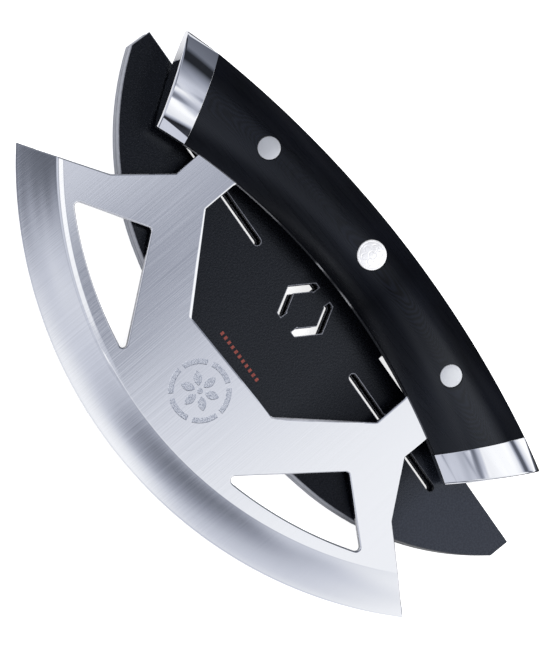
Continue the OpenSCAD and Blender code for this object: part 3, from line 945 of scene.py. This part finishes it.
def satin_steel():
    paint = Paint("satin_rivet_steel", Metallic=0.7)
    paint.grained(paint.noise((260, 260, 260)), (0.61, 0.625, 0.65), (0.64, 0.655, 0.68), (0.3, 0.33))
    return paint.material


def medallion_steel():
    paint = Paint("bright_medallion_steel", Metallic=0.4)
    paint.grained(paint.noise((900, 900, 900)), (0.88, 0.88, 0.89), (0.92, 0.92, 0.93), (0.16, 0.22))
    return paint.material


def handle_black():
    """Black layered composite: faint fibres along the handle and faint contour lines."""
    paint = Paint("black_composite_handle", Specular_Tint=(0.84, 0.9, 1.0, 1))
    fibres = paint.noise((45, 1300, 1300), 4)
    base = paint.grained(fibres, (0.0012, 0.0013, 0.0016), (0.0026, 0.0028, 0.0034), (0.24, 0.34))
    paint.bump(fibres, 0.04, 0.0001)
    # The surface cuts through thin wavy layers, which show as arches around the crest
    layers = paint.add("TexWave", Vector=paint.own_place((0.4, 0.8, 1.0)), Scale=2300.0, Distortion=34.0,
                       Detail=2.0, Detail_Scale=0.05)
    layers.bands_direction = "Z"
    patches = paint.ramp(paint.noise((38, 90, 60), 2), [(0.35, 0.35), (0.65, 1.0)])
    share = paint.math("MULTIPLY", layers.outputs["Fac"], patches)
    paint.set(Base_Color=paint.mix(share, base, (0.0056, 0.0067, 0.011, 1)))
    # Painted shade: the sheen is turned down beside the medallion, along the spine and along the left half
    # of the belly
    along, across = paint.along_x(-0.05, 0.05), across_handle(paint)
    shade_along = paint.ramp(along, [(0.45, 0.37), (0.61, 0.09), (0.725, 0.21), (0.92, 0.41)])
    spine = paint.ramp(across, [(0.62, 1.0), (0.77, 0.18)])
    belly = paint.math("MAXIMUM", paint.ramp(across, [(0.04, 0.45), (0.23, 1.0)]),
                       paint.ramp(along, [(0.45, 0.0), (0.65, 1.0)]))
    sides = paint.math("MULTIPLY", spine, belly)
    paint.set(Specular_IOR_Level=paint.math("MULTIPLY", shade_along, sides))
    return paint.material


def across_handle(paint):
    """A share from 0 at the belly to 1 at the spine, by the distance from the spine's centre."""
    centre = (0, (BELLY_Y + HANDLE_W - SPINE_R) * MM, 0)
    away = paint.add("VectorMath", _0=paint.own_place((1, 1, 0)), _1=centre)
    away.operation = "DISTANCE"
    return paint.span(away.outputs["Value"], (SPINE_R - 24) * MM, SPINE_R * MM)


def guard_black():
    paint = Paint("black_moulded_guard", Specular_Tint=(0.86, 0.92, 1.0, 1))
    grain = paint.noise((1800, 1800, 1800), 2)
    base = paint.grained(grain, (0.0005, 0.0008, 0.002), (0.0031, 0.0036, 0.0062), (0.24, 0.31))
    paint.bump(grain, 0.16, 0.0002)
    # Painted shade and light: the sheen is turned down towards the left end and most in a band under the
    # blade's right window, and the right end is painted paler
    along = paint.along_x(-0.09, 0.09)
    paint.set(Specular_IOR_Level=paint.ramp(along, [
        (0.15, 0.36), (0.45, 0.5), (0.6, 0.5), (0.69, 0.2), (0.79, 0.16), (0.83, 0.5)]))
    painted_light_share = paint.ramp(along, [(0.8, 0.0), (0.87, 1.0)])
    pale = paint.ramp(grain, [(0.3, (0.01, 0.012, 0.019)), (0.7, (0.016, 0.019, 0.029))])
    paint.set(Base_Color=paint.mix(painted_light_share, base, pale))
    return paint.material


def guard_rim():
    """The broken corners around the guard and its openings: a painted highlight makes them paler than the
    faces, fading to black towards the right end.
    """
    paint = Paint("guard_rim_painted_highlight")
    tone = paint.grained(paint.noise((900, 900, 900), 2), (0.15, 0.16, 0.19), (0.24, 0.25, 0.29), (0.3, 0.4))
    # The painted highlight fades to black towards the right end
    dark = paint.ramp(paint.along_x(-0.09, 0.09), [(0.72, 0.0), (0.88, 1.0)])
    paint.set(Base_Color=paint.mix(dark, tone, (0.02, 0.023, 0.03, 1)))
    return paint.material


def guard_edge():
    """The guard's outer wall: light grey from a painted reflection, fading to black towards the right end.
    """
    paint = Paint("guard_edge_painted_reflection")
    pale = paint.grained(paint.noise((1500, 1500, 300)), (0.36, 0.38, 0.43), (0.42, 0.44, 0.49), (0.3, 0.4))
    # The painted reflection fades to black towards the right end
    dark = paint.ramp(paint.along_x(-0.09, 0.09), [(0.7, 0.0), (0.9, 1.0)])
    paint.set(Base_Color=paint.mix(dark, pale, (0.006, 0.007, 0.011, 1)))
    return paint.material


def red_print():
    paint = Paint("red_print")
    speck = paint.noise((3000, 3000, 3000), 2)
    paint.grained(speck, (0.16, 0.035, 0.028), (0.27, 0.055, 0.04), (0.5, 0.65), 0.15)
    return paint.material


# Guard

RIM_SOFT = 0.22
# The red line's two ends, counted from the middle of the guard's mouth, and its dashes
RULE_FROM = (-9.8, -35.1)
RULE_TO = (8.7, -34.7)
RULE_DASHES = 11
RULE_TALL = 1.15
RULE_HALF_T = 0.02


def rim_gap(x, y):
    """Distance in from the guard's curve, or from its clipped ends."""
    centre_y = MOUTH_Y - GUARD_DEPTH + GUARD_MID_R
    if abs(x) < GUARD_MID_R * math.sin(GUARD_MEET):
        gap = GUARD_MID_R - math.hypot(x, y - centre_y)
    else:
        blend = GUARD_MID_R - GUARD_END_R
        end_x, end_y = blend * math.sin(GUARD_MEET), centre_y - blend * math.cos(GUARD_MEET)
        gap = GUARD_END_R - math.hypot(abs(x) - end_x, y - end_y)
    return min(gap, GUARD_HALF_W - abs(x))


def on_outer_wall(shell, face):
    """Whether a face of the guard belongs to the upright wall along its curve."""
    turn = GUARD_PLACE.to_3x3().inverted() @ shell.matrix_world.to_3x3()
    normal = (turn @ face.normal).normalized()
    at = GUARD_PLACE.inverted() @ (shell.matrix_world @ face.center) / MM
    from_middle = Vector((at.x, at.y - MOUTH_Y, 0))
    upright = abs(normal.z) < 0.1 and normal.y < 0.5
    return upright and normal @ from_middle > 0 and rim_gap(at.x, at.y) < 1.0


def make_guard():
    """The guard's own CAD shells, with softened edges and the moulded finish."""
    surfaces = guard_black(), guard_edge(), guard_rim()
    for node in ("guard_front_shell", "guard_rear_shell"):
        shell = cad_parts[node]
        shell.data.materials.clear()
        for m in surfaces:
            shell.data.materials.append(m)
        for face in shell.data.polygons:
            # The upright outer wall takes the material with the painted reflection
            face.material_index = int(on_outer_wall(shell, face))
        weld = shell.modifiers.new("weld", "WELD")
        weld.merge_threshold = 0.01 * MM
        planar = shell.modifiers.new("planar", "DECIMATE")
        planar.decimate_type = "DISSOLVE"
        planar.angle_limit = math.radians(1)
        soft = shell.modifiers.new("soft_edges", "BEVEL")
        soft.width = RIM_SOFT * MM
        soft.segments = 3
        soft.limit_method = "ANGLE"
        soft.angle_limit = math.radians(40)
        soft.harden_normals = True
        soft.use_clamp_overlap = False
        # The rounded corners take the rim material, with its painted highlight
        soft.material = 2


def make_rule():
    """A plain dashed red line printed on the guard."""
    start, end = (np.array([x, y + MOUTH_Y]) for x, y in (RULE_FROM, RULE_TO))
    pitch = (end - start) / RULE_DASHES
    tall = left_of(unit(pitch)) * RULE_TALL
    sides = [(0, 3, 2, 1), (4, 5, 6, 7), (0, 1, 5, 4), (1, 2, 6, 5), (2, 3, 7, 6), (3, 0, 4, 7)]
    verts, faces = [], []
    for k in range(RULE_DASHES):
        p = start + pitch * k
        q = p + pitch / 2
        faces += [tuple(len(verts) + i for i in f) for f in sides]
        for z in (GUARD_T - RULE_HALF_T, GUARD_T + RULE_HALF_T):
            verts += [(*c, z) for c in (p, q, q + tall, p + tall)]
    dress(mesh_piece("guard_red_rule", verts, faces), "guard", [], "guard_black", red_print())


# Camera, floor and light

LENS_MM = 184.108
CAMERA_AT = (-160.974, -284.245, 941.871)
CAMERA_AIM = (0.337, -1.925, 8.0)
CAMERA_ROLL = math.radians(-79.429)
FLOOR_HALF = 4.0
FLOOR_DROP = 0.0002
FLOOR_LIFT = 0.76
# A black card on the floor, which only reflections see: its direction, near side and soft border
CARD_WAY = (0.35, 0.94, 0.0)
CARD_FROM, CARD_SOFT = 0.045, 0.02
LAMP_AT = (0.5, 0.6, 1.2)
LAMP_SIZE = 0.9
LAMP_POWER = 14


def make_camera():
    data = bpy.data.cameras.new("camera")
    data.lens = LENS_MM
    data.clip_end = 20
    camera = placed("camera", data)
    forward = (Vector(CAMERA_AIM) - Vector(CAMERA_AT)).normalized()
    level = forward.cross(Vector((0, 0, 1))).normalized()
    up = level.cross(forward) * math.cos(CAMERA_ROLL) + level * math.sin(CAMERA_ROLL)
    turn = Matrix((forward.cross(up), up, -forward)).transposed().to_4x4()
    camera.matrix_world = Matrix.Translation(Vector(CAMERA_AT) * MM) @ turn
    bpy.context.scene.camera = camera


def make_floor():
    """White to the camera, pale to light, and with the black card to reflections."""
    mesh = bpy.data.meshes.new("floor")
    corners = [(x * FLOOR_HALF, y * FLOOR_HALF, 0) for x, y in ((-1, -1), (1, -1), (1, 1), (-1, 1))]
    mesh.from_pydata(corners, [], [(0, 1, 2, 3)])
    floor = placed("floor", mesh)
    floor.location.z = -FLOOR_DROP
    paint = Paint("pale_floor", Roughness=0.9, Specular_IOR_Level=0.1, Emission_Color=(1, 1, 1, 1))
    rays = paint.add("LightPath").outputs
    paint.set(Emission_Strength=paint.math("MULTIPLY", rays["Is Camera Ray"], FLOOR_LIFT))
    place = paint.add("NewGeometry").outputs["Position"]
    behind = paint.add("VectorMath", _0=place, _1=CARD_WAY)
    behind.operation = "DOT_PRODUCT"
    card = paint.span(behind.outputs["Value"], CARD_FROM, CARD_FROM + CARD_SOFT)
    seen = paint.math("MULTIPLY", card, rays["Is Glossy Ray"])
    paint.set(Base_Color=paint.mix(seen, (0.85, 0.85, 0.86, 1), (0.02, 0.02, 0.02, 1)))
    mesh.materials.append(paint.material)


# The studio as upright strips of soft light, which only reflections see. Each strip has its place along x,
# as a share of the direction, and its brightness by the angle from straight up towards +y, in degrees.
STUDIO = [
    (-0.08, [(-90, 0.6), (-62, 0.6), (-57, 0.5), (-47, 0.59), (-38, 0.57), (-28, 0.42), (-18, 0.3),
     (-13, 0.12), (-3, 0.12), (1, 0.45), (8, 0.36), (18, 0.2), (26, 0.02), (38, 0.02), (45, 0.17),
     (70, 0.12), (77, 0.8)]),
    (-0.03, [(-90, 0.12), (-66, 0.12), (-55, 0.5), (-47, 0.59), (-30, 0.5), (-15, 0.5), (-11.5, 0.42),
     (-10, 0.12), (-4, 0.12), (2, 0.5), (12, 0.35), (20, 0.2), (28, 0.02), (38, 0.02), (46, 0.17), (70, 0.1),
     (80, 0.8)]),
    (0.0, [(-90, 0.1), (-64, 0.1), (-50, 0.56), (-38, 0.57), (-26, 0.45), (-16, 0.64), (-12, 0.57),
     (-9, 0.47), (-7.5, 0.14), (-3, 0.12), (2, 0.52), (12, 0.37), (20, 0.2), (28, 0.04), (38, 0.04),
     (47, 0.16), (66, 0.1), (82, 0.6)]),
    (0.03, [(-90, 0.1), (-62, 0.1), (-47, 0.55), (-38, 0.57), (-26, 0.45), (-17, 0.66), (-10, 0.67),
     (-6, 0.43), (-4.5, 0.14), (-2, 0.16), (0, 0.5), (4, 0.55), (10, 0.38), (18, 0.2), (28, 0.06),
     (38, 0.05), (48, 0.15), (64, 0.08), (90, 0.3)]),
    (0.095, [(-90, 0.1), (-60, 0.12), (-44, 0.45), (-30, 0.45), (-20, 0.6), (-14, 0.57), (-9, 0.63),
     (-5, 0.73), (-3, 0.67), (0, 0.67), (5, 0.58), (10, 0.3), (16, 0.11), (30, 0.08), (45, 0.15), (62, 0.08),
     (90, 0.05)]),
    (0.108, [(-90, 0.1), (-60, 0.12), (-30, 0.45), (-20, 0.56), (-15, 0.51), (-11, 0.57), (-8, 0.77),
     (-5, 0.92), (-2.5, 0.45), (-0.8, 0.24), (0.1, 0.24), (1.2, 0.44), (5, 0.4), (12, 0.12), (30, 0.08),
     (45, 0.15), (62, 0.08), (90, 0.05)]),
    (0.13, [(-90, 0.1), (-58, 0.12), (-45, 0.45), (-24, 0.33), (-18, 0.44), (-13, 0.44), (-10, 0.56),
     (-6, 0.88), (-4, 0.85), (-1.5, 0.28), (0.2, 0.29), (1, 0.31), (3, 0.29), (10, 0.2), (16, 0.12),
     (30, 0.1), (45, 0.15), (62, 0.08), (90, 0.05)]),
    (0.16, [(-90, 0.1), (-58, 0.12), (-45, 0.45), (-28, 0.6), (-19, 0.55), (-16.5, 0.28), (-14, 0.2),
     (-12, 0.24), (-10, 0.36), (-8, 0.78), (-5, 1.0), (-1.5, 0.66), (3, 0.62), (10, 0.34), (16, 0.24),
     (30, 0.18), (62, 0.08), (90, 0.05)]),
    (0.21, [(-90, 0.1), (-55, 0.12), (-44, 0.5), (-30, 0.98), (-19, 0.98), (-16.5, 0.24), (-14, 0.15),
     (-12, 0.21), (-10, 0.36), (-8, 0.52), (-5.5, 0.6), (-3, 0.9), (0, 0.86), (8, 0.87), (16, 0.84),
     (26, 0.45), (48, 0.25), (62, 0.1), (90, 0.05)]),
    (0.26, [(-90, 0.1), (-56, 0.1), (-46, 0.2), (-40, 0.8), (-20, 0.95), (-16.5, 0.3), (-14, 0.17),
     (-12, 0.27), (-9, 0.48), (-7, 0.57), (-5, 0.64), (-3, 0.86), (0, 0.86), (16, 1.0), (32, 0.8), (45, 0.3),
     (62, 0.1), (90, 0.05)]),
    (0.32, [(-90, 0.2), (-62, 0.1), (-46, 0.01), (-40, 0.76), (-22, 0.9), (-15, 0.6), (-12, 0.46),
     (-9, 0.6), (-6, 0.75), (-3, 0.92), (13, 0.95), (26, 0.97), (36, 0.85), (44, 0.15), (50, 0.12),
     (56, 0.3), (62, 0.2), (90, 0.08)]),
    (0.38, [(-90, 0.6), (-64, 0.6), (-60, 0.02), (-46, 0.01), (-41, 0.6), (-30, 0.8), (-14, 0.72),
     (-8, 0.88), (0, 0.92), (21, 0.96), (30, 1.0), (38, 0.8), (44, 0.1), (48, 0.1), (53, 0.7), (60, 1.0),
     (68, 1.0), (74, 0.1), (90, 0.1)]),
]
# What the strips' brightness stands for in colour: cooler where it is darker
STUDIO_TINT = [(0.0, (0.0, 0.0, 0.0)), (0.1, (0.087, 0.095, 0.118)), (0.3, (0.27, 0.286, 0.344)),
               (0.6, (0.563, 0.582, 0.655)), (0.8, (0.785, 0.795, 0.825)), (1.0, (0.99, 0.99, 1.0))]
STUDIO_GAIN = 1.25


def make_world():
    world = bpy.data.worlds.new("studio")
    bpy.context.scene.world = world
    tree = Tree(world)
    way = tree.add("SeparateXYZ", _0=tree.add("TexCoord").outputs["Generated"]).outputs
    angle = tree.span(tree.math("ARCTAN2", way["Y"], way["Z"]), -math.pi / 2, math.pi / 2)
    strips = [(x, tree.ramp(angle, [((a + 90) / 180, v) for a, v in stops])) for x, stops in STUDIO]
    level = strips[0][1]
    for (before, _), (x, strip) in zip(strips, strips[1:]):
        level = tree.mix(tree.span(way["X"], before, x, smooth=True), level, strip)
    gain = tree.add("VectorMath", _0=tree.ramp(level, STUDIO_TINT))
    gain.operation = "SCALE"
    tree.feed(gain, Scale=STUDIO_GAIN)
    rays = tree.add("LightPath").outputs
    lit = tree.mix(rays["Is Glossy Ray"], (0.8, 0.8, 0.82, 1), gain.outputs[0])
    seen = tree.mix(rays["Is Camera Ray"], lit, (1, 1, 1, 1))
    tree.feed(tree.nodes["Background"], Color=seen)


def make_lamp():
    data = bpy.data.lights.new("key", "AREA")
    data.size = LAMP_SIZE
    data.energy = LAMP_POWER
    lamp = placed("key", data)
    lamp.location = LAMP_AT
    lamp.rotation_euler = (-Vector(LAMP_AT)).to_track_quat("-Z", "Y").to_euler()
    lamp.visible_camera = False
    lamp.visible_glossy = False


def main():
    make_camera()
    make_floor()
    make_world()
    make_lamp()
    make_blade()
    black, polished, satin, medal = handle_black(), polished_steel(), satin_steel(), medallion_steel()
    make_scale("handle_front_scale", "front_scale", 1, black)
    make_scale("handle_rear_scale", "rear_scale", -1, black)
    make_cap("right_cap", "right_end_cap", 1, polished)
    make_cap("left_cap", "left_end_cap", -1, polished)
    for x, end in ((-RIVET_X, "left_rivet_"), (RIVET_X, "right_rivet_")):
        for side, name, node, shank_end in ((1, "head", "sleeve", SLEEVE_END), (-1, "back", "pin", PIN_END)):
            make_head(end + name, end + node, side, x, RIVET_HEAD_R, RIVET_SHANK_R, shank_end,
                      lambda ring, a: 0.0, "rivet_steel", satin)
    for side, face in ((1, "front"), (-1, "rear")):
        make_head(face + "_medal", face + "_medallion", side, 0, MEDAL_R, TUBE_BORE_R - FIT, MEDAL_SHANK_END,
                  medal_carve, "medallion_steel", medal)
    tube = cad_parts["middle_tube"].data.materials
    tube.clear()
    tube.append(satin)
    make_guard()
    make_rule()
    bpy.context.scene.view_settings.view_transform = "Standard"


main()
